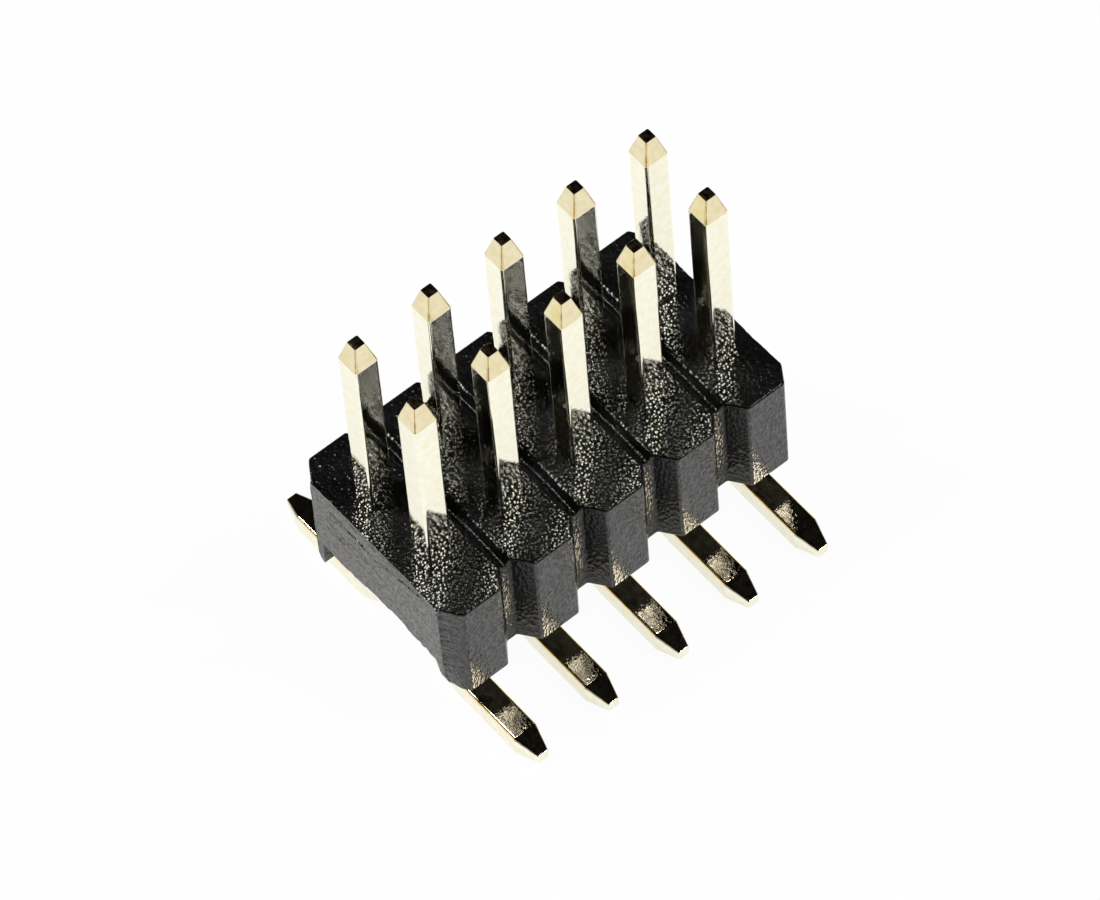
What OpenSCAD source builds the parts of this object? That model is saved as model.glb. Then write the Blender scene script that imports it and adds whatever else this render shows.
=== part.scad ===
// Two-row surface-mount pin header strip: one moulded insulator and ten bent square-wire pins.
// The origin is the middle of the pin grid, on the plane that the solder feet rest on.
// +X runs across the rows, +Y along the strip from its torn end, and +Z up along the posts.

/* [Pin grid] */
// Distance from one pin pair to the next, along the strip
pitch = 1.27; // [1.2:0.01:2.54]
// Distance between the two rows of pins
row_pitch = 1.27; // [1.2:0.01:1.6]
// Number of pin pairs along the strip
pin_pairs = 5; // [2:1:20]

/* [Pin] */
// Thickness of the square wire
wire = 0.4; // [0.3:0.01:0.5]
// Width of the bevel along the wire's four edges
wire_bevel = 0.03; // [0.01:0.005:0.05]
// Height of a post above the top of the insulator
post_rise = 3.8; // [1.5:0.1:8]
// Width of the small flat at the wire's cut ends
tip_width = 0.18; // [0.1:0.01:0.24]
// Length of the taper at the wire's cut ends
tip_length = 0.39; // [0.2:0.01:0.6]
// Inner radius of the bend under the insulator
bend_radius = 0.42; // [0.2:0.01:0.5]
// Distance from the middle of the strip to the end of a solder foot
foot_reach = 2.8; // [2.5:0.05:3.5]
// Gap between the top of a solder foot and the insulator's walls
foot_gap = 0.52; // [0.2:0.01:0.8]

/* [Insulator] */
// Width over the flats on both sides
body_width = 3.4; // [3.2:0.05:4]
// Height from the lower edge of the walls to the top face
body_height = 2; // [1.5:0.05:3]
// Width of the channel that runs along the underside
channel_width = 2.54; // [2.2:0.02:2.7]
// Height of the channel that runs along the underside
channel_height = 0.5; // [0.2:0.05:0.8]
// How far the V notches between two segments reach in from the flats
notch_depth = 0.3; // [0.1:0.01:0.32]
// Length of each sloping side of a notch, along the strip
notch_slope = 0.22; // [0.1:0.01:0.3]
// Width of the flat floor of a notch
notch_floor = 0.18; // [0.05:0.01:0.3]
// Width of the score line that crosses the top face at each notch
score_width = 0.22; // [0.1:0.01:0.3]
// Depth of that score line
score_depth = 0.1; // [0.05:0.01:0.2]

/* [Torn ends] */
// How far the torn near end lies beyond the middle of its notch
near_trim = 0.07; // [0.02:0.01:0.15]
// How far the far end lies short of the middle of its notch
far_trim = 0.13; // [0.02:0.01:0.15]
// Depth of the furrows that the tear left in the near end
furrow_depth = 0.035; // [0.01:0.005:0.06]
// Width of each furrow
furrow_width = 0.11; // [0.05:0.01:0.16]
// How far along the strip the ragged lower lip of the near end is broken back
lip_reach = 0.12; // [0.05:0.01:0.2]
// Height of the highest chip in that lip, above the channel
lip_chip = 0.12; // [0.05:0.01:0.2]

/* [Hidden] */
$fn = 48;
SIDES = ["left", "right"];
function pin_name(side, i) = str("pin_", SIDES[side], "_", i + 1);

// Overshoot of a cut past the face that it opens through
over = 0.5;
// Levels above the plane of the solder feet
wall_z = wire + foot_gap;
channel_z = wall_z + channel_height;
top_z = wall_z + body_height;
tip_z = top_z + post_rise;
// The strip runs from a torn notch to a torn notch, and near_y is below zero
strip = pin_pairs * pitch;
near_y = near_trim - strip / 2;
far_y = strip / 2 - far_trim;
// The wire's middle line turns about this centre, seen from the end of the strip
turn = bend_radius + wire / 2;
turn_x = row_pitch / 2 + turn;
turn_z = wire / 2 + turn;

// Place of pin pair i along the strip, and of the notch before it
function pin_y(i) = (i + 0.5) * pitch - strip / 2;
function notch_y(i) = i * pitch - strip / 2;

// One side of the insulator's outline, with a flat for each pin pair and a notch between two
function side_outline(x) = [
    [x - notch_depth, notch_y(0)],
    for (i = [0:pin_pairs - 1])
        each [
            [x - notch_depth, notch_y(i) + notch_floor / 2],
            [x, notch_y(i) + notch_floor / 2 + notch_slope],
            [x, notch_y(i + 1) - notch_floor / 2 - notch_slope],
            [x - notch_depth, notch_y(i + 1) - notch_floor / 2]
        ],
    [x - notch_depth, notch_y(pin_pairs)]
];
function mirrored(points) = [for (i = [len(points) - 1:-1:0]) [-points[i][0], points[i][1]]];

// Cross-section of the wire: a square with bevelled corners
module wire_section() {
    a = wire / 2;
    b = a - wire_bevel;
    polygon([[a, -b], [a, b], [b, a], [-b, a], [-a, b], [-a, -b], [-b, -a], [b, -a]]);
}

// Outline of a wire that stands on z = 0 and narrows to its cut end at the given length
module tapered_outline(length) {
    a = wire / 2;
    t = tip_width / 2;
    polygon([[-a, 0], [a, 0], [a, length - tip_length], [t, length], [-t, length], [-a, length - tip_length]]);
}

// A straight wire along +Z with its cut end pressed to a blunt four-sided point
module wire_end(length) {
    intersection() {
        linear_extrude(height = length) wire_section();
        rotate([90, 0, 0]) linear_extrude(height = wire, center = true) tapered_outline(length);
        rotate([90, 0, 90]) linear_extrude(height = wire, center = true) tapered_outline(length);
    }
}

// One pin, drawn for the right-hand row: post, bend and solder foot in one wire
module bent_pin() {
    translate([row_pitch / 2, 0, turn_z]) wire_end(tip_z - turn_z);
    translate([turn_x, 0, turn_z])
        rotate([90, 0, 0])
            rotate([0, 0, 180])
                rotate_extrude(angle = 90)
                    translate([turn, 0]) wire_section();
    translate([turn_x, 0, wire / 2])
        rotate([0, 90, 0]) wire_end(foot_reach - turn_x);
}

module pin(side, i) {
    color("goldenrod")
        translate([0, pin_y(i), 0])
            mirror([1 - side, 0, 0])
                bent_pin();
}

// The insulator's plan, cut off at its two torn ends
module body_plan() {
    right = side_outline(body_width / 2);
    intersection() {
        polygon(concat(right, mirrored(right)));
        translate([-body_width / 2, near_y]) square([body_width, far_y - near_y]);
    }
}

// V-shaped score line across the top face, over each notch between two segments
module score_lines() {
    for (i = [1:pin_pairs - 1])
        translate([0, notch_y(i), top_z])
            rotate([90, 0, 90])
                linear_extrude(height = body_width + over, center = true)
                    polygon([
                        [0, -score_depth], [score_width / 2, 0], [score_width / 2, over],
                        [-score_width / 2, over], [-score_width / 2, 0]
                    ]);
}

// Channel along the underside, which keeps the insulator clear of the bends
module underside_channel() {
    translate([-channel_width / 2, near_y - over, wall_z - over])
        cube([channel_width, far_y - near_y + 2 * over, channel_height + over]);
}

// Square holes that the posts pass through, the size of the wire
module post_holes() {
    for (i = [0:pin_pairs - 1], side = [-1, 1])
        translate([side * row_pitch / 2, pin_y(i), wall_z - over])
            linear_extrude(height = body_height + 2 * over) wire_section();
}

// Furrows across the torn end, each with its share of the wall's height and its slant in degrees
FURROWS = [[0.13, 1.2], [0.3, -1.6], [0.45, 0.9], [0.62, -0.8], [0.8, 1.5]];
module furrows() {
    bottom_z = channel_z + lip_chip;
    for (furrow = FURROWS)
        translate([0, near_y, bottom_z + furrow[0] * (top_z - bottom_z)])
            rotate([0, furrow[1], 0])
                rotate([90, 0, 90])
                    linear_extrude(height = body_width + over, center = true)
                        polygon([
                            [-over, -furrow_width / 2], [0, -furrow_width / 2],
                            [furrow_depth, -furrow_width / 6], [0, furrow_width / 2], [-over, furrow_width / 2]
                        ]);
}

// Chips in the lower lip of the torn end: shares of the half width and of the chip's height
CHIPS = [[-0.8, 0], [-0.4, 0.15], [-0.05, 0.75], [0.38, 1], [0.62, 0.25], [0.85, 0.4], [1, 0.1]];
module ragged_lip() {
    half = channel_width / 2;
    translate([0, near_y + lip_reach, 0])
        rotate([90, 0, 0])
            linear_extrude(height = lip_reach + over)
                polygon(concat(
                    [[-half, wall_z - over], [-half, channel_z]],
                    [for (chip = CHIPS) [chip[0] * half, channel_z + chip[1] * lip_chip]],
                    [[body_width / 2 - notch_depth, channel_z], [body_width / 2, wall_z - over]]
                ));
}

module body() {
    color([0.09, 0.09, 0.09])
        difference() {
            translate([0, 0, wall_z]) linear_extrude(height = body_height) body_plan();
            underside_channel();
            post_holes();
            score_lines();
            furrows();
            ragged_lip();
        }
}

body();
for (side = [0, 1], i = [0:pin_pairs - 1])
    pin(side, i);
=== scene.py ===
"""Looks for a two-row surface-mount pin header strip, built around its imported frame.

The insulator and each formed wire are modelled again in fine detail where their CAD nodes stand:
rounded moulding edges, torn ends, and wires with rounded corners. All sizes are in metres, apart
from those that are said to be in millimetres.
"""

import math

import bmesh
import bpy
from mathutils import Matrix, Vector, noise


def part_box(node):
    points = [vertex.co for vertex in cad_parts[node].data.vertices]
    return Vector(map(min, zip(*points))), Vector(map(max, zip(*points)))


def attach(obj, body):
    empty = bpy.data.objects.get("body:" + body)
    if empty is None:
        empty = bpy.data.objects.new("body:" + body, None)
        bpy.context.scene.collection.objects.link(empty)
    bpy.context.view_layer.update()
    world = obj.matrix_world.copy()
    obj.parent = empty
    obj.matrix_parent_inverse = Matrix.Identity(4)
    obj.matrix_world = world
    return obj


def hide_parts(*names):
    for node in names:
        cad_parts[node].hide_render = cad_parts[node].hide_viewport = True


MM = 0.001
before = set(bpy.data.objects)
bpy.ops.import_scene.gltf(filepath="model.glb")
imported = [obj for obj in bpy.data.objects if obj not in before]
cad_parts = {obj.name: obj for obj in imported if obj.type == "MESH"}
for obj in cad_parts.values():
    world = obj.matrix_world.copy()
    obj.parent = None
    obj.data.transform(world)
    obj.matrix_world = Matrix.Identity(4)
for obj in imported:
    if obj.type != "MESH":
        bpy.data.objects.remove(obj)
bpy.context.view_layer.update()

# Sizes that the frame gives
body_low, body_high = (Vector(corner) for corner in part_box("body"))
WALL_Z, TOP_Z = body_low.z, body_high.z
HALF_WIDTH = body_high.x
NEAR_Y, FAR_Y = body_low.y, body_high.y
PIN_NODES = sorted(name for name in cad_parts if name.startswith("pin_"))
first_low, first_high = (Vector(corner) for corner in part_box("pin_right_1"))
second_low, _ = (Vector(corner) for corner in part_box("pin_right_2"))
WIRE = first_high.y - first_low.y
COLUMN_PITCH = second_low.y - first_low.y
FIRST_PIN_Y = (first_low.y + first_high.y) / 2
POST_X = first_low.x + WIRE / 2
FOOT_REACH = first_high.x
TIP_Z = first_high.z
PIN_PAIRS = len(PIN_NODES) // 2

# Sizes of the moulding that the boxes don't give
NOTCH_DEPTH = 0.30 * MM
NOTCH_SLOPE = 0.22 * MM
NOTCH_FLOOR = 0.18 * MM
CHANNEL_HALF = 1.27 * MM
CHANNEL_Z = WALL_Z + 0.5 * MM
SCORE_WIDTH = 0.22 * MM
SCORE_DEPTH = 0.10 * MM
EDGE_ROUND = 0.032 * MM
HOLE_GAP = 0.004 * MM
# Overshoot of a cut past the face that it opens through
OVER = 0.5 * MM

# Sizes of the wire
WIRE_BEVEL = 0.045 * MM
TIP_HALF = 0.09 * MM
TIP_LENGTH = 0.39 * MM
TIP_CROWN = 0.004 * MM
BEND_RADIUS = 0.42 * MM
BEND_STEPS = 16
CORNER_STEPS = 3

# Two faces at a larger angle, in degrees, meet in an edge that stays sharp
SHARP_ANGLE = 40
# Distance below which two points count as one
SAME_PLACE = 1e-8

# How much of the floor is plain white, where metal mirrors it and where the camera sees it
WHITE_IN_MIRRORS = 0.8
WHITE_TO_CAMERA = 0.96

# Soft lamps: name, azimuth, elevation, width and height in degrees, and radiance
LAMP_DISTANCE = 120 * MM
LAMPS = [
    ("lamp_right", 45.7, 57, 6, 18, 44),
    ("lamp_right_edge", 37, 57, 2.8, 18, 15),
    ("lamp_left", -138, 57, 8, 18, 42),
]

# Camera, fitted to the photograph: a long lens, a little rolled
CAMERA_AZIMUTH = 55.16
CAMERA_ELEVATION = 57.31
CAMERA_ROLL = 5.45
CAMERA_DISTANCE = 126.8 * MM
CAMERA_LENS = 298.4
CAMERA_AIM = Vector((-0.085, 0.068, 1.990)) * MM


def notch_y(index):
    """Middle of the notch before pin pair index, along the strip."""
    return FIRST_PIN_Y + (index - 0.5) * COLUMN_PITCH


def new_object(name, bm):
    """Turns a bmesh into a piece of the scene."""
    mesh = bpy.data.meshes.new(name)
    bm.normal_update()
    bm.to_mesh(mesh)
    bm.free()
    piece = bpy.data.objects.new(name, mesh)
    bpy.context.scene.collection.objects.link(piece)
    return piece


def crisp(piece):
    """Keeps large faces flat and rounded edges smooth, and leaves sharp edges sharp."""
    mesh = piece.data
    mesh.shade_smooth()
    limit = math.cos(math.radians(SHARP_ANGLE))
    normals = [face.normal.copy() for face in mesh.polygons]
    weights = [(face.area / MM**2) ** 2 for face in mesh.polygons]
    faces_at = [[] for _ in mesh.vertices]
    for face in mesh.polygons:
        for vertex in face.vertices:
            faces_at[vertex].append(face.index)
    corners = []
    for face in mesh.polygons:
        own = normals[face.index]
        for vertex in face.vertices:
            total = own * weights[face.index]
            for other in faces_at[vertex]:
                if other != face.index and normals[other].dot(own) > limit:
                    total += normals[other] * weights[other]
            corners.append(total.normalized())
    mesh.normals_split_custom_set(corners)


def applied(piece):
    """Applies the piece's modifiers to its mesh."""
    depsgraph = bpy.context.evaluated_depsgraph_get()
    mesh = bpy.data.meshes.new_from_object(piece.evaluated_get(depsgraph))
    piece.modifiers.clear()
    piece.data = mesh
    return piece


# Insulator


def side_outline():
    """The right side of the insulator's plan, from its near end to its far end."""
    floor_x = HALF_WIDTH - NOTCH_DEPTH
    points = [(floor_x, NEAR_Y)]
    for index in range(PIN_PAIRS):
        near, far = notch_y(index) + NOTCH_FLOOR / 2, notch_y(index + 1) - NOTCH_FLOOR / 2
        points += [(floor_x, near), (HALF_WIDTH, near + NOTCH_SLOPE)]
        points += [(HALF_WIDTH, far - NOTCH_SLOPE), (floor_x, far)]
    cut = (points[-1][1] - FAR_Y) / NOTCH_SLOPE
    points[-1] = (floor_x + cut * NOTCH_DEPTH, FAR_Y)
    return points


def prism(outline, axis, low, high):
    """A straight prism over an outline in the plane that is square to axis 'x' or 'z'."""
    bm = bmesh.new()

    def place(point, level):
        return (level, *point) if axis == "x" else (*point, level)

    ends = [[bm.verts.new(place(point, level)) for point in outline] for level in (low, high)]
    bm.faces.new(list(reversed(ends[0])))
    bm.faces.new(ends[1])
    count = len(outline)
    for i in range(count):
        j = (i + 1) % count
        bm.faces.new((ends[0][i], ends[0][j], ends[1][j], ends[1][i]))
    bmesh.ops.recalc_face_normals(bm, faces=bm.faces)
    return bm


def cut_away(piece, tools):
    """Subtracts each tool from the piece."""
    for tool in tools:
        cut = piece.modifiers.new("cut", "BOOLEAN")
        cut.operation, cut.solver, cut.object = "DIFFERENCE", "EXACT", tool
    applied(piece)
    for tool in tools:
        bpy.data.objects.remove(tool)


def channel_tool():
    """What cuts the channel along the underside."""
    half, near, far = CHANNEL_HALF, NEAR_Y - OVER, FAR_Y + OVER
    channel = [(-half, near), (half, near), (half, far), (-half, far)]
    return new_object("channel", prism(channel, "z", WALL_Z - OVER, CHANNEL_Z))


def score_tool(index):
    """What cuts the V-shaped score line before pin pair index."""
    y = notch_y(index)
    wide = SCORE_WIDTH / 2
    score = [(y, TOP_Z - SCORE_DEPTH), (y + wide, TOP_Z), (y + wide, TOP_Z + OVER)]
    score += [(y - wide, TOP_Z + OVER), (y - wide, TOP_Z)]
    return new_object("score", prism(score, "x", -HALF_WIDTH - OVER, HALF_WIDTH + OVER))


def hole_tool(side, index):
    """What cuts the hole of one post, a little wider than the wire."""
    x, y = side * POST_X, FIRST_PIN_Y + index * COLUMN_PITCH
    reach = WIRE / 2 + HOLE_GAP
    corner = reach - WIRE_BEVEL * 0.6
    ring = [(reach, -corner), (reach, corner), (corner, reach), (-corner, reach)]
    ring += [(-reach, corner), (-reach, -corner), (-corner, -reach), (corner, -reach)]
    hole = [(x + dx, y + dy) for dx, dy in ring]
    return new_object("hole", prism(hole, "z", WALL_Z - OVER, TOP_Z + OVER))


def insulator_blank():
    """The moulding with its notches, channel, score lines and holes, all edges still sharp."""
    right = side_outline()
    left = [(-x, y) for x, y in reversed(right)]
    blank = new_object("insulator", prism(right + left, "z", WALL_Z, TOP_Z))
    tools = [channel_tool()]
    tools += [score_tool(index) for index in range(1, PIN_PAIRS)]
    tools += [hole_tool(side, index) for side in (-1, 1) for index in range(PIN_PAIRS)]
    cut_away(blank, tools)
    return blank


def in_a_hole(point):
    """Whether a point lies on the rim or wall of a post's hole."""
    reach = WIRE / 2 + 2 * HOLE_GAP
    step = (point.y - FIRST_PIN_Y) / COLUMN_PITCH
    off_y = abs(step - round(step)) * COLUMN_PITCH
    return abs(abs(point.x) - POST_X) < reach and off_y < reach


def round_long_edges(bm):
    """Rounds the moulding's edges, apart from the torn rims and the holes."""
    near, far = NEAR_Y + EDGE_ROUND / 2, FAR_Y - EDGE_ROUND / 2

    def torn(edge):
        ends = [v.co.y for v in edge.verts]
        return max(ends) < near or min(ends) > far

    picked = [
        edge
        for edge in bm.edges
        if len(edge.link_faces) == 2
        and edge.calc_face_angle(0) > math.radians(15)
        and not torn(edge)
        and not all(in_a_hole(v.co) for v in edge.verts)
    ]
    bmesh.ops.bevel(bm, geom=picked, offset=EDGE_ROUND, segments=3, profile=0.5, affect="EDGES")


def slice_end(bm, y_inner, y_outer, x_step, z_step):
    """Cuts the faces between the end plane y_outer and y_inner into a fine grid."""
    low = min(y_inner, y_outer) - 10 * SAME_PLACE
    high = max(y_inner, y_outer) + 10 * SAME_PLACE

    def cut(place, normal, only_end=True):
        faces = bm.faces
        if only_end:
            faces = [f for f in bm.faces if low < f.calc_center_median().y < high]
        geometry = set(faces)
        for face in faces:
            geometry.update(face.edges)
            geometry.update(face.verts)
        bmesh.ops.bisect_plane(bm, geom=list(geometry), plane_co=place, plane_no=normal, dist=SAME_PLACE)

    for share in (0, 0.4, 0.75):
        cut((0, y_inner + share * (y_outer - y_inner), 0), (0, 1, 0), only_end=False)
    count = round(2 * HALF_WIDTH / x_step)
    for i in range(1, count):
        cut((-HALF_WIDTH + 2 * HALF_WIDTH * i / count, 0, 0), (1, 0, 0))
    count = round((TOP_Z - WALL_Z) / z_step)
    for i in range(1, count):
        cut((0, 0, WALL_Z + (TOP_Z - WALL_Z) * i / count), (0, 0, 1))


# Ledges across the near end: where each starts and ends over the width, how far under the top
# face it lies there, and how deep it is. Lengths in millimetres.
LEDGES = [
    (-1.25, 1.40, 0.10, 0.07, 0.020),
    (-0.10, 1.40, 0.20, 0.12, 0.014),
    (-1.40, 0.10, 0.46, 0.30, 0.018),
    (-1.10, -0.35, 0.62, 0.80, 0.016),
    (0.15, 0.80, 0.52, 0.66, 0.008),
    (-0.60, 0.30, 1.05, 1.15, 0.007),
    (0.70, 1.30, 1.00, 0.92, 0.008),
]
# Cracks across the same end, given in the same way
CRACKS = [
    (-1.05, 0.12, 0.31, 0.39, 0.04),
    (0.0, 1.15, 0.37, 0.09, 0.04),
    (-1.12, -0.68, 0.83, 0.80, 0.035),
    (-0.60, 0.35, 0.62, 0.74, 0.02),
]
CRACK_WIDTH = 0.016
# How far the torn surface stands back on average, and its relief from broad to fine: the height,
# the width and height of a grain, and a step of the seed. Lengths in millimetres.
TEAR_DEPTH = 0.014
TEAR_RELIEF = [(0.008, 1.2, 0.9, 0), (0.005, 0.15, 0.13, 3), (0.008, 0.07, 0.06, 5)]
# How far in a face still counts as torn
TORN_DEPTH = 0.09 * MM
# How far above a ledge its relief fades out, in millimetres
LEDGE_FADE = 0.09
# How far in from its end plane a tear's relief reaches
TEAR_REACH = 0.16 * MM
# Steps of the fine grid on each torn end, across and up
NEAR_GRID = (0.022 * MM, 0.016 * MM)
FAR_GRID = (0.05 * MM, 0.025 * MM)
NEAR_SEED, FAR_SEED = 1.7, 5.2
# How far the torn rim at both walls wanders, and how wide that strip is
RIM_WANDER = 0.03 * MM
RIM_WIDTH = 0.02 * MM
# How far the left wall's lower corner is broken off, from what height, and how far the right
# wall's lower end stands back
CORNER_CHIP = 0.11 * MM
CORNER_HEIGHT = 0.3 * MM
RIGHT_CHIP = 0.08 * MM
# Height of the near end's ragged lower lip above the channel, over the width, and of the far
# end's plain one, in millimetres
LIP = [
    (-1.3, 0), (-1.02, 0), (-0.51, 0.018), (-0.06, 0.09),
    (0.48, 0.12), (0.79, 0.03), (1.08, 0.05), (1.3, 0),
]
FAR_LIP = 0.03
# Height over which the lip's raggedness fades out
LIP_HEIGHT = 0.25 * MM


def interpolated(table, x):
    """Value of a table of (place, value) pairs at x."""
    for (x0, v0), (x1, v1) in zip(table, table[1:]):
        if x0 <= x <= x1:
            return v0 + (v1 - v0) * (x - x0) / (x1 - x0)
    return table[0][1] if x < table[0][0] else table[-1][1]


def ripple(x, z, size_x, size_z, seed):
    """Smooth noise over the end face, from -1 to 1."""
    return noise.noise(Vector((x / (size_x * MM), seed, z / (size_z * MM))))


def tear_height(x, z, seed):
    """How far the torn surface stands back at a place, in metres."""
    depth = TEAR_DEPTH
    for height, size_x, size_z, step in TEAR_RELIEF:
        depth += height * ripple(x, z, size_x, size_z, seed + step)
    for start, end, under_start, under_end, drop in CRACKS:
        share = (x / MM - start) / (end - start)
        if 0 < share < 1:
            under = under_start + share * (under_end - under_start) + 0.02 * ripple(x, 0, 0.15, 1, drop)
            gap = (z / MM - (TOP_Z / MM - under)) / CRACK_WIDTH
            depth += drop * min(1, 6 * share, 6 * (1 - share)) * math.exp(-gap * gap)
    for number, (start, end, under_start, under_end, drop) in enumerate(LEDGES):
        share = (x / MM - start) / (end - start)
        if not 0 < share < 1:
            continue
        under = under_start + share * (under_end - under_start)
        under += 0.035 * ripple(x, 0, 0.22, 1, seed + number) + 0.012 * ripple(x, 0, 0.06, 1, number)
        above = z / MM - (TOP_Z / MM - under)
        if above > 0:
            strength = min(1, 5 * share, 5 * (1 - share)) * (0.7 + 0.6 * ripple(x, 0, 0.3, 1, number + 9))
            depth += drop * max(0, strength) * math.exp(-above / LEDGE_FADE)
    return max(0, depth) * MM


def tear_end(bm, end_y, inward, seed):
    """Roughens one torn end: the face itself, its rim and its lower lip."""
    for vert in bm.verts:
        depth = (vert.co.y - end_y) * inward
        if depth > TEAR_REACH:
            continue
        depth = max(0, depth)
        fade = 1 - depth / TEAR_REACH
        x, z = vert.co.x, vert.co.z
        vert.co.y = end_y + inward * (depth + fade * tear_height(x, z, seed))
        ragged = 0.02 * ripple(x, 0, 0.12, 1, seed + 7) + 0.022 * ripple(x, 0, 0.05, 1, seed + 8)
        if abs(x) < CHANNEL_HALF and z < CHANNEL_Z + LIP_HEIGHT:
            share = 1 - (z - CHANNEL_Z) / LIP_HEIGHT
            rise = interpolated(LIP, x / MM) if inward > 0 else FAR_LIP
            vert.co.z += fade * share * max(0, rise + ragged) * MM
        elif x >= CHANNEL_HALF and z < CHANNEL_Z:
            share = (CHANNEL_Z - z) / (CHANNEL_Z - WALL_Z)
            vert.co.y += inward * fade * share**2 * RIGHT_CHIP
        outer = HALF_WIDTH - NOTCH_DEPTH - abs(x)
        if outer < RIM_WIDTH:
            wander = 0.4 + ripple(0, z, 1, 0.16, seed + 11) + 0.6 * ripple(0, z, 1, 0.07, seed + 12)
            vert.co.x -= math.copysign(fade * max(0, wander) * RIM_WANDER, x)
        if x < -CHANNEL_HALF and z < WALL_Z + CORNER_HEIGHT:
            outward = max(0, 1 - max(0, outer) / (HALF_WIDTH - NOTCH_DEPTH - CHANNEL_HALF))
            low = 1 - (z - WALL_Z) / CORNER_HEIGHT
            vert.co.z += fade * outward**2 * low * CORNER_CHIP


def finish_index(face):
    """Which finish a face of the insulator has: 0 top, 1 walls, 2 notches, 3 torn ends, 4 edges."""
    depth = min(face.center.y - NEAR_Y, FAR_Y - face.center.y)
    inner = HALF_WIDTH - NOTCH_DEPTH - 0.001 * MM
    if depth < TORN_DEPTH and abs(face.normal.y) > 0.5 and abs(face.center.x) < inner:
        return 3
    if abs(face.normal.z) > 0.99:
        return 0
    if face.normal.z > 0.3:
        return 4
    return 1 if depth < NOTCH_SLOPE or abs(face.center.x) > HALF_WIDTH - EDGE_ROUND else 2


def insulator():
    """The one-piece moulding, with rounded edges and two torn ends."""
    piece = insulator_blank()
    bm = bmesh.new()
    bm.from_mesh(piece.data)
    bmesh.ops.remove_doubles(bm, verts=bm.verts, dist=SAME_PLACE)
    bmesh.ops.dissolve_limit(bm, angle_limit=math.radians(0.5), verts=bm.verts, edges=bm.edges)
    round_long_edges(bm)
    slice_end(bm, NEAR_Y + TEAR_REACH, NEAR_Y, *NEAR_GRID)
    slice_end(bm, FAR_Y - TEAR_REACH, FAR_Y, *FAR_GRID)
    tear_end(bm, NEAR_Y, 1, NEAR_SEED)
    tear_end(bm, FAR_Y, -1, FAR_SEED)
    bmesh.ops.triangulate(bm, faces=[f for f in bm.faces if len(f.verts) > 4])
    bm.normal_update()
    bm.to_mesh(piece.data)
    bm.free()
    crisp(piece)
    return piece


# Formed wires


def wire_ring(half, corner):
    """Section of the wire: a square of the given half width with rounded corners."""
    inner = half - corner
    ring = []
    for quarter in range(4):
        middle = math.radians(45 + 90 * quarter)
        x = math.copysign(inner, math.cos(middle))
        y = math.copysign(inner, math.sin(middle))
        for step in range(CORNER_STEPS + 1):
            angle = math.radians(90 * (quarter + step / CORNER_STEPS))
            ring.append((x + corner * math.cos(angle), y + corner * math.sin(angle)))
    return ring


def wire_stations():
    """Places along the wire's middle line from foot tip to post tip, with the section at each.

    Each is (x, z, angle, half width, corner), where angle turns the section from the foot's
    heading, 0, to the post's, a quarter turn. It is drawn for the right-hand row.
    """
    half = WIRE / 2
    turn = BEND_RADIUS + half
    centre_x, centre_z = POST_X + turn, half + turn
    tip_corner = WIRE_BEVEL * 0.5
    crown = TIP_CROWN
    stations = [
        (FOOT_REACH, half, 0, TIP_HALF * 0.35, tip_corner * 0.35),
        (FOOT_REACH - crown * 0.35, half, 0, TIP_HALF * 0.75, tip_corner * 0.75),
        (FOOT_REACH - crown, half, 0, TIP_HALF - crown / 3, tip_corner),
        (FOOT_REACH - crown * 2, half, 0, TIP_HALF + crown / 3, tip_corner),
        (FOOT_REACH - TIP_LENGTH + crown, half, 0, half - crown / 3, WIRE_BEVEL),
        (FOOT_REACH - TIP_LENGTH - crown, half, 0, half, WIRE_BEVEL),
    ]
    for i in range(BEND_STEPS + 1):
        angle = i / BEND_STEPS * math.pi / 2
        x = centre_x - turn * math.sin(angle)
        z = centre_z - turn * math.cos(angle)
        stations.append((x, z, angle, half, WIRE_BEVEL))
    up = math.pi / 2
    stations += [
        (POST_X, TIP_Z - TIP_LENGTH - crown, up, half, WIRE_BEVEL),
        (POST_X, TIP_Z - TIP_LENGTH + crown, up, half - crown / 3, WIRE_BEVEL),
        (POST_X, TIP_Z - crown * 2, up, TIP_HALF + crown / 3, tip_corner),
        (POST_X, TIP_Z - crown, up, TIP_HALF - crown / 3, tip_corner),
        (POST_X, TIP_Z - crown * 0.35, up, TIP_HALF * 0.75, tip_corner * 0.75),
        (POST_X, TIP_Z, up, TIP_HALF * 0.35, tip_corner * 0.35),
    ]
    return stations


def formed_wire(side, index):
    """One wire, from the tip of its solder foot round the bend to the tip of its post."""
    name = f"wire_{'right' if side > 0 else 'left'}_{index + 1}"
    y = FIRST_PIN_Y + index * COLUMN_PITCH
    bm = bmesh.new()
    rings = []
    for x, z, angle, half, corner in wire_stations():
        ring = []
        for u, v in wire_ring(half, corner):
            point = (side * (x + u * math.sin(angle)), y + v, z + u * math.cos(angle))
            ring.append(bm.verts.new(point))
        rings.append(ring)
    count = len(rings[0])
    for near, far in zip(rings, rings[1:]):
        for i in range(count):
            j = (i + 1) % count
            bm.faces.new((near[i], near[j], far[j], far[i]))
    bm.faces.new(rings[0])
    bm.faces.new(rings[-1])
    bmesh.ops.recalc_face_normals(bm, faces=bm.faces)
    wire = new_object(name, bm)
    crisp(wire)
    return wire


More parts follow.
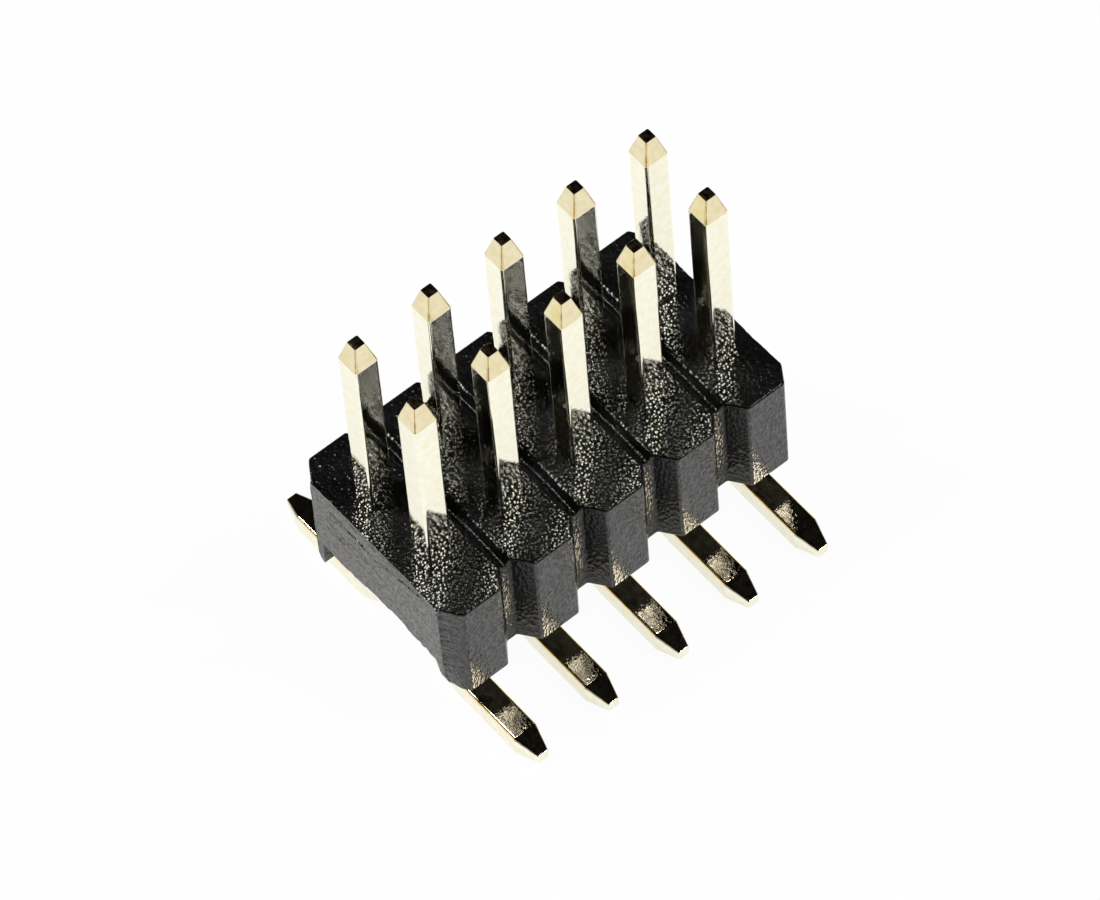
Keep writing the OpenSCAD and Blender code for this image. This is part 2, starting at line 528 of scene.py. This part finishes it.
def plating_index(face):
    """Which finish a face of a wire has.

    0 is bright, 1 darker on a foot's upper side, 2 cut on top, 3 darker and more orange along a
    foot's upper edges, 4 darker on a post's point and 5 darker along its ridges. The darker tones of
    1, 3, 4 and 5 are painted shade: they darken the gold where it mirrors dim surroundings.
    """
    if face.center.z > TIP_Z - 0.005 * MM:
        return 2
    if face.center.z > TIP_Z - TIP_LENGTH:
        return 5 if min(abs(face.normal.x), abs(face.normal.y)) > 0.5 else 4
    on_foot = face.center.z <= WIRE * 1.01 and abs(face.center.x) >= HALF_WIDTH * 0.8
    if not on_foot or face.normal.z < 0.2:
        return 0
    return 1 if face.normal.z > 0.9 or abs(face.normal.x) > 0.2 else 3


# Materials


def shader_nodes(name):
    """A new material with its node helpers: the material, its principled shader, add and link."""
    material = bpy.data.materials.new(name)
    material.use_nodes = True
    tree = material.node_tree
    shader = tree.nodes["Principled BSDF"]

    def add(kind, **values):
        node = tree.nodes.new(kind)
        for key, value in values.items():
            if hasattr(node, key):
                setattr(node, key, value)
            else:
                node.inputs[key.replace("_", " ")].default_value = value
        return node

    return material, shader, add, tree.links.new


def stretched(add, link, place, scale):
    """The piece's own coordinates, scaled along each axis."""
    mapping = add("ShaderNodeMapping", Scale=scale)
    link(place.outputs["Object"], mapping.inputs["Vector"])
    return mapping.outputs["Vector"]


def bump_over(add, link, surface, height, normal=None):
    """The normal of a bump over a surface, with its height in millimetres."""
    bump = add("ShaderNodeBump", Strength=1, Distance=height * MM)
    link(surface, bump.inputs["Height"])
    if normal is not None:
        link(normal, bump.inputs["Normal"])
    return bump.outputs["Normal"]


def noise_bump(add, link, place, size, height, normal=None, detail=1.0):
    """The normal of smooth noise: the size of its grains and its height, both in millimetres."""
    grain = add("ShaderNodeTexNoise", Scale=1 / (size * MM), Detail=detail)
    link(place.outputs["Object"], grain.inputs["Vector"])
    return bump_over(add, link, grain.outputs["Fac"], height, normal)


def mottled_colour(add, link, shader, vector, size, detail, levels, tones):
    """Base colour that varies with noise of a size in millimetres, from one tone to another.

    The levels are the noise values at which the dark and the pale tone are reached.
    """
    mottle = add("ShaderNodeTexNoise", Scale=1 / (size * MM), Detail=detail)
    link(vector, mottle.inputs["Vector"])
    tone = add("ShaderNodeValToRGB")
    for element, level, colour in zip(tone.color_ramp.elements, levels, tones):
        element.position = level
        element.color = (*colour, 1)
    link(mottle.outputs["Fac"], tone.inputs["Fac"])
    link(tone.outputs["Color"], shader.inputs["Base Color"])


def moulded_black(name, grain_size, grain_height, drawn, mottled, gloss):
    """Black moulding compound with a glinting grain of small domes, sizes in millimetres.

    Walls are drawn: their grains are longer upright, by that factor. The mottled value is the
    palest tone of its specks, and gloss its specular level.
    """
    material, shader, add, link = shader_nodes(name)
    place = add("ShaderNodeTexCoord")
    grain_space = stretched(add, link, place, (1, 1, 1 / drawn))
    cells = add("ShaderNodeTexVoronoi", Scale=1 / (grain_size * MM))
    link(grain_space, cells.inputs["Vector"])
    dome = add("ShaderNodeMath", operation="MULTIPLY")
    link(cells.outputs["Distance"], dome.inputs[0])
    link(cells.outputs["Distance"], dome.inputs[1])
    broad = noise_bump(add, link, place, 0.12, 0.006 if drawn == 1 else 0.003, detail=3)
    link(bump_over(add, link, dome.outputs[0], grain_height, broad), shader.inputs["Normal"])
    tones = ((0.003, 0.003, 0.003), (mottled, mottled, mottled * 0.95))
    mottled_colour(add, link, shader, grain_space, grain_size, 2, (0.35, 0.7), tones)
    shader.inputs["Roughness"].default_value = 0.2
    shader.inputs["Specular IOR Level"].default_value = gloss
    return material


def torn_black():
    """The same compound where it was torn: paler, rougher and dull."""
    material, shader, add, link = shader_nodes("torn_black")
    place = add("ShaderNodeTexCoord")
    link(noise_bump(add, link, place, 0.04, 0.009, detail=3), shader.inputs["Normal"])
    tones = ((0.08, 0.079, 0.075), (0.28, 0.275, 0.258))
    grain_space = stretched(add, link, place, (0.8, 1, 0.8))
    mottled_colour(add, link, shader, grain_space, 0.035, 4, (0.35, 0.65), tones)
    shader.inputs["Roughness"].default_value = 0.5
    return material


def gold_plate(name, deep, pale, fine_height):
    """Bright gold plating over drawn wire, between a deep and a pale tone, a little uneven. Darker tones
    make the copies that carry painted shade.
    """
    material, shader, add, link = shader_nodes(name)
    place = add("ShaderNodeTexCoord")
    mottled_colour(add, link, shader, place.outputs["Object"], 0.12, 4, (0.35, 0.6), (deep, pale))
    wave = noise_bump(add, link, place, 0.5, 0.003)
    link(noise_bump(add, link, place, 0.05, fine_height, wave, 2), shader.inputs["Normal"])
    shader.inputs["Metallic"].default_value = 1
    shader.inputs["Roughness"].default_value = 0.05
    return material


def cut_metal():
    """Bare metal at a post's sheared end: uneven, dark and brownish."""
    material, shader, add, link = shader_nodes("cut_metal")
    place = add("ShaderNodeTexCoord")
    link(noise_bump(add, link, place, 0.05, 0.007, detail=3), shader.inputs["Normal"])
    tones = ((0.08, 0.055, 0.025), (0.38, 0.29, 0.17))
    mottled_colour(add, link, shader, place.outputs["Object"], 0.08, 3, (0.4, 0.6), tones)
    shader.inputs["Metallic"].default_value = 1
    shader.inputs["Roughness"].default_value = 0.22
    return material


# Stage


def pale_floor():
    """A white floor that stays white to the camera and in the gold, and keeps a soft shadow."""
    bm = bmesh.new()
    reach = 400 * MM
    corners = [(-reach, -reach), (reach, -reach), (reach, reach), (-reach, reach)]
    bm.faces.new([bm.verts.new((x, y, -0.002 * MM)) for x, y in corners])
    floor = new_object("floor", bm)
    material, shader, add, link = shader_nodes("pale_floor")
    shader.inputs["Base Color"].default_value = (0.95, 0.95, 0.95, 1)
    shader.inputs["Roughness"].default_value = 0.9
    shader.inputs["Specular IOR Level"].default_value = 0
    path = add("ShaderNodeLightPath")
    mirrored = add("ShaderNodeMath", operation="MAXIMUM")
    link(path.outputs["Is Glossy Ray"], mirrored.inputs[0])
    link(path.outputs["Is Transmission Ray"], mirrored.inputs[1])
    part = add("ShaderNodeMath", operation="MULTIPLY")
    part.inputs[1].default_value = WHITE_IN_MIRRORS
    link(mirrored.outputs[0], part.inputs[0])
    share = add("ShaderNodeMath", operation="MULTIPLY_ADD")
    share.inputs[1].default_value = WHITE_TO_CAMERA
    link(path.outputs["Is Camera Ray"], share.inputs[0])
    link(part.outputs[0], share.inputs[2])
    white = add("ShaderNodeEmission")
    white.inputs["Color"].default_value = (1, 1, 1, 1)
    mix = add("ShaderNodeMixShader")
    link(share.outputs[0], mix.inputs["Fac"])
    link(shader.outputs[0], mix.inputs[1])
    link(white.outputs[0], mix.inputs[2])
    output = material.node_tree.nodes["Material Output"]
    link(mix.outputs[0], output.inputs["Surface"])
    floor.data.materials.append(material)


def studio_world():
    """Pale walls near the horizon and a dim ceiling."""
    world = bpy.data.worlds.new("studio")
    bpy.context.scene.world = world
    world.use_nodes = True
    tree = world.node_tree
    place = tree.nodes.new("ShaderNodeTexCoord")
    parts = tree.nodes.new("ShaderNodeSeparateXYZ")
    tree.links.new(place.outputs["Generated"], parts.inputs[0])
    ramp = tree.nodes.new("ShaderNodeValToRGB")
    ramp.color_ramp.elements[0].position = 0.04
    ramp.color_ramp.elements[0].color = (1, 1, 1, 1)
    ramp.color_ramp.elements[1].position = 0.2
    ramp.color_ramp.elements[1].color = (0.01, 0.01, 0.01, 1)
    tree.links.new(parts.outputs["Z"], ramp.inputs["Fac"])
    tree.links.new(ramp.outputs["Color"], tree.nodes["Background"].inputs["Color"])


def soft_lamp(name, azimuth, elevation, width, height, radiance):
    """A soft lamp LAMP_DISTANCE away that faces the header.

    Azimuth and elevation place it as seen from the header, anticlockwise from +X, and width and
    height are its size as seen from there, all in degrees.
    """
    data = bpy.data.lights.new(name, "AREA")
    data.shape = "RECTANGLE"
    data.size = 2 * LAMP_DISTANCE * math.tan(math.radians(width / 2))
    data.size_y = 2 * LAMP_DISTANCE * math.tan(math.radians(height / 2))
    data.energy = radiance * math.pi * data.size * data.size_y
    around, up = math.radians(azimuth), math.radians(elevation)
    heading = Vector((math.cos(around) * math.cos(up), math.sin(around) * math.cos(up), math.sin(up)))
    lamp = bpy.data.objects.new(name, data)
    lamp.location = Vector((0, 0, TOP_Z)) + heading * LAMP_DISTANCE
    lamp.rotation_euler = heading.to_track_quat("Z", "Y").to_euler()
    bpy.context.scene.collection.objects.link(lamp)


def camera():
    """The photograph's viewpoint."""
    azimuth, elevation, roll = (math.radians(a) for a in (CAMERA_AZIMUTH, CAMERA_ELEVATION, CAMERA_ROLL))
    back = Vector(
        (
            math.sin(azimuth) * math.cos(elevation),
            -math.cos(azimuth) * math.cos(elevation),
            math.sin(elevation),
        )
    )
    data = bpy.data.cameras.new("camera")
    data.lens = CAMERA_LENS
    data.clip_start = 5 * MM
    data.clip_end = 2
    eye = bpy.data.objects.new("camera", data)
    turn = back.to_track_quat("Z", "Y").to_matrix().to_4x4() @ Matrix.Rotation(-roll, 4, "Z")
    eye.matrix_world = Matrix.Translation(CAMERA_AIM + back * CAMERA_DISTANCE) @ turn
    bpy.context.scene.collection.objects.link(eye)
    bpy.context.scene.camera = eye


def dressed_insulator():
    """The insulator with its finishes, in place of its node."""
    body_piece = insulator()
    body_piece.data.materials.clear()
    finishes = (
        moulded_black("moulded_top", 0.06, 0.0115, 1, 0.009, 0.5),
        # The walls' specks are paler than the top's. They are partly the compound's random speck tone and
        # partly painted reflection, standing in for the speckle that the grainy walls show where they
        # mirror the white floor
        moulded_black("moulded_walls", 0.04, 0.0056, 1.8, 0.1, 0.33),
        moulded_black("moulded_notches", 0.05, 0.0085, 1.8, 0.006, 0.2),
        torn_black(),
        moulded_black("moulded_edges", 0.05, 0.0065, 1, 0.004, 0.3),
    )
    for finish in finishes:
        body_piece.data.materials.append(finish)
    for face in body_piece.data.polygons:
        face.material_index = finish_index(face)
    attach(body_piece, "root")
    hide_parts("body")


def dressed_wires():
    """The ten wires with their finishes, in place of their nodes."""
    finishes = (
        gold_plate("gold_plate", (0.98, 0.92, 0.69), (1.0, 0.99, 0.83), 0.0008),
        # Painted shade: a dark copy of the gold for a foot's upper side, where it mirrors the dim ceiling
        gold_plate("painted_shade_foot_gold", (0.26, 0.22, 0.14), (0.52, 0.46, 0.33), 0.003),
        cut_metal(),
        # Painted shade: a darker, more orange copy of the gold along a foot's upper edges, where they
        # mirror dim surroundings
        gold_plate("painted_shade_edge_gold", (0.85, 0.56, 0.20), (0.96, 0.74, 0.36), 0.0015),
        # Painted shade: a darker copy of the gold on a post's point, where its facets mirror a dimmer
        # part of the floor
        gold_plate("painted_shade_point_gold", (0.81, 0.71, 0.43), (0.86, 0.78, 0.53), 0.0008),
        # Painted shade: a dark brown copy of the gold along the point's ridges, where they mirror dark
        # surroundings
        gold_plate("painted_shade_ridge_gold", (0.30, 0.19, 0.06), (0.66, 0.46, 0.18), 0.0012),
    )
    for row, side in (("left", -1), ("right", 1)):
        for index in range(PIN_PAIRS):
            wire = formed_wire(side, index)
            for finish in finishes:
                wire.data.materials.append(finish)
            for face in wire.data.polygons:
                face.material_index = plating_index(face)
            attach(wire, "root")
            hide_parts(f"pin_{row}_{index + 1}")


dressed_insulator()
dressed_wires()
pale_floor()
studio_world()
for lamp in LAMPS:
    soft_lamp(*lamp)
camera()
bpy.context.scene.view_settings.view_transform = "Standard"
